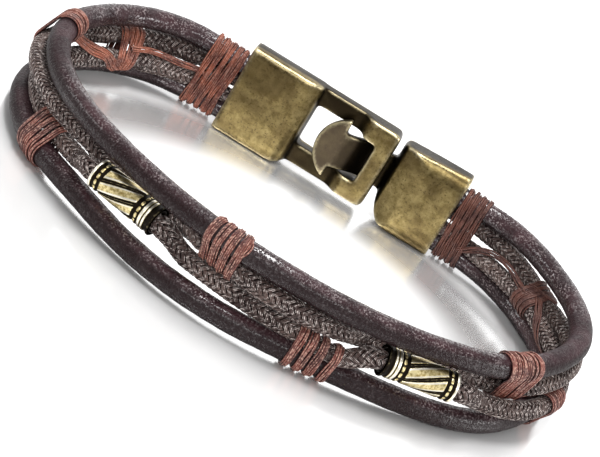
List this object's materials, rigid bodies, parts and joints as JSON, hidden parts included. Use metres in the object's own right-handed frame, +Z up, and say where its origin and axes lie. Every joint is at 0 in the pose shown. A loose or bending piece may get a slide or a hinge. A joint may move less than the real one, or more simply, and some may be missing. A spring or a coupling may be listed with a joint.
{
  "type": "leather bracelet",
  "caption": "Layered bracelet of leather and braided cords, thread-wrapped at intervals, with metal drum beads and a bar-and-hook clasp, fastened and resting on its edge.",
  "frame": {"origin": "on the surface it rests on, under the middle of the fastened bracelet", "axes": "+X along the clasp, +Y towards the clasp, +Z up through the opening for the wrist"},
  "size_m": [0.082, 0.0577, 0.0135],
  "materials": {
    "leather": "dyed round leather, semi-gloss on top, dull where it is bent",
    "braid": "braided waxed cord, waxy",
    "thread": "waxed thread, fibrous, satin",
    "clasp_metal": "cast, antique bronze tone, satin with worn edges",
    "bead_metal": "cast, antique bronze tone, dark in the grooves"
  },
  "bodies": {
    "root": {"leather_cord_top": "leather", "braided_cord_upper": "braid", "braided_cord_lower": "braid", "leather_cord_bottom": "leather", "clasp_frame": "clasp_metal", "clasp_hook": "clasp_metal", "drum_bead_left": "bead_metal", "drum_bead_right": "bead_metal", "wrap_clasp_left": "thread", "wrap_clasp_right": "thread", "wrap_back_left": "thread", "wrap_back_right": "thread", "wrap_turn_left": "thread", "wrap_turn_right": "thread", "wrap_front_a": "thread", "wrap_front_b": "thread", "wrap_front_c": "thread", "wrap_front_d": "thread"}
  },
  "joints": []
}
